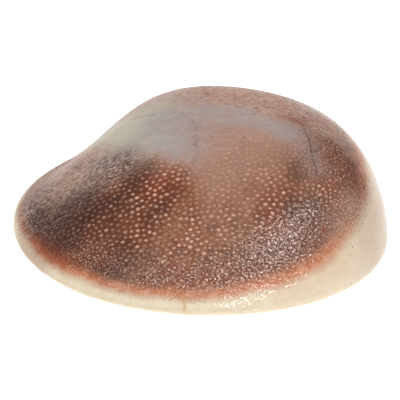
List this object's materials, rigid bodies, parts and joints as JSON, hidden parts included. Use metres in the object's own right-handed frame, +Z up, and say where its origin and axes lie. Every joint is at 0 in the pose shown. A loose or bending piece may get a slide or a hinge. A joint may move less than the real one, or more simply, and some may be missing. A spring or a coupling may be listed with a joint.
{
  "type": "shell operculum",
  "caption": "Thick limy door of a large turban sea snail: a lopsided domed oval with a pimpled brown outer face, a cream rim and a flat inner face.",
  "frame": {"origin": "on the flat inner face, under the middle of the bounding box", "axes": "+Z up out of the domed outer face, +X along the long side towards the steep end, +Y to the back, where the dome is highest"},
  "size_m": [0.0884, 0.0812, 0.028],
  "materials": {
    "shell": "gloss"
  },
  "bodies": {
    "root": {"operculum": "shell"}
  },
  "joints": []
}
